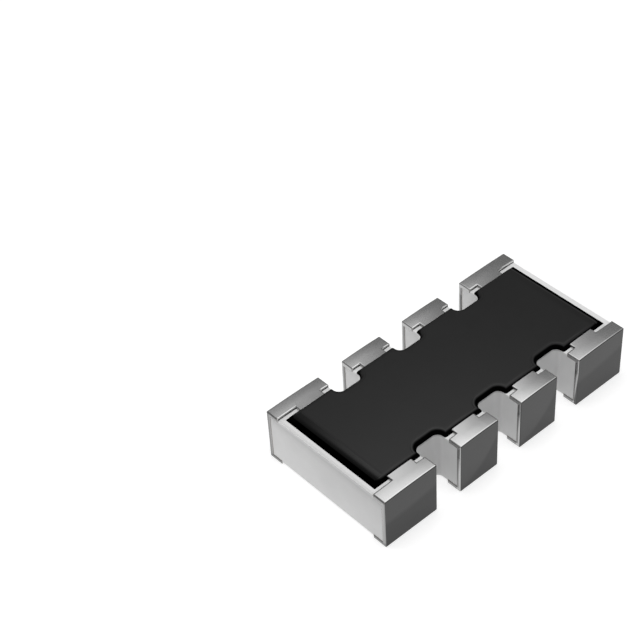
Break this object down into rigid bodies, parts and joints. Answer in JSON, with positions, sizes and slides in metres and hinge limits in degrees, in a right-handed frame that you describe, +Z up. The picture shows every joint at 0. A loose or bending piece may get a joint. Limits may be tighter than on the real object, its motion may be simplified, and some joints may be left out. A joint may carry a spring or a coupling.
{
  "type": "resistor network",
  "caption": "Surface-mount chip resistor array: notched ceramic, plated wrap-around terminals along both long edges and a black overcoat across the elements.",
  "frame": {"origin": "centre of the chip on the solder plane, under the terminals' feet", "axes": "+X along the row of terminals, +Y across the chip to the back row, +Z up from the board to the overcoat"},
  "size_m": [0.0032, 0.0016, 0.0006],
  "materials": {
    "ceramic": "as-fired matt alumina",
    "silver_film": "fired silver film, matt",
    "nickel": "satin nickel plate",
    "tin": "satin tin plate",
    "resistive_film": "fired resistive glaze, dull black",
    "primary_glass": "thin fired glass, slightly green",
    "overcoat": "smooth black epoxy, satin"
  },
  "bodies": {
    "root": {"ceramic_substrate": "ceramic", "inner_electrode_front_1": "silver_film", "inner_electrode_front_2": "silver_film", "inner_electrode_front_3": "silver_film", "inner_electrode_front_4": "silver_film", "inner_electrode_back_1": "silver_film", "inner_electrode_back_2": "silver_film", "inner_electrode_back_3": "silver_film", "inner_electrode_back_4": "silver_film", "edge_electrode_front_1": "silver_film", "edge_electrode_front_2": "silver_film", "edge_electrode_front_3": "silver_film", "edge_electrode_front_4": "silver_film", "edge_electrode_back_1": "silver_film", "edge_electrode_back_2": "silver_film", "edge_electrode_back_3": "silver_film", "edge_electrode_back_4": "silver_film", "bottom_electrode_front_1": "silver_film", "bottom_electrode_front_2": "silver_film", "bottom_electrode_front_3": "silver_film", "bottom_electrode_front_4": "silver_film", "bottom_electrode_back_1": "silver_film", "bottom_electrode_back_2": "silver_film", "bottom_electrode_back_3": "silver_film", "bottom_electrode_back_4": "silver_film", "nickel_barrier_front_1": "nickel", "nickel_barrier_front_2": "nickel", "nickel_barrier_front_3": "nickel", "nickel_barrier_front_4": "nickel", "nickel_barrier_back_1": "nickel", "nickel_barrier_back_2": "nickel", "nickel_barrier_back_3": "nickel", "nickel_barrier_back_4": "nickel", "tin_cap_front_1": "tin", "tin_cap_front_2": "tin", "tin_cap_front_3": "tin", "tin_cap_front_4": "tin", "tin_cap_back_1": "tin", "tin_cap_back_2": "tin", "tin_cap_back_3": "tin", "tin_cap_back_4": "tin", "resistor_element_1": "resistive_film", "primary_glass_1": "primary_glass", "resistor_element_2": "resistive_film", "primary_glass_2": "primary_glass", "resistor_element_3": "resistive_film", "primary_glass_3": "primary_glass", "resistor_element_4": "resistive_film", "primary_glass_4": "primary_glass", "overcoat": "overcoat"}
  },
  "joints": []
}
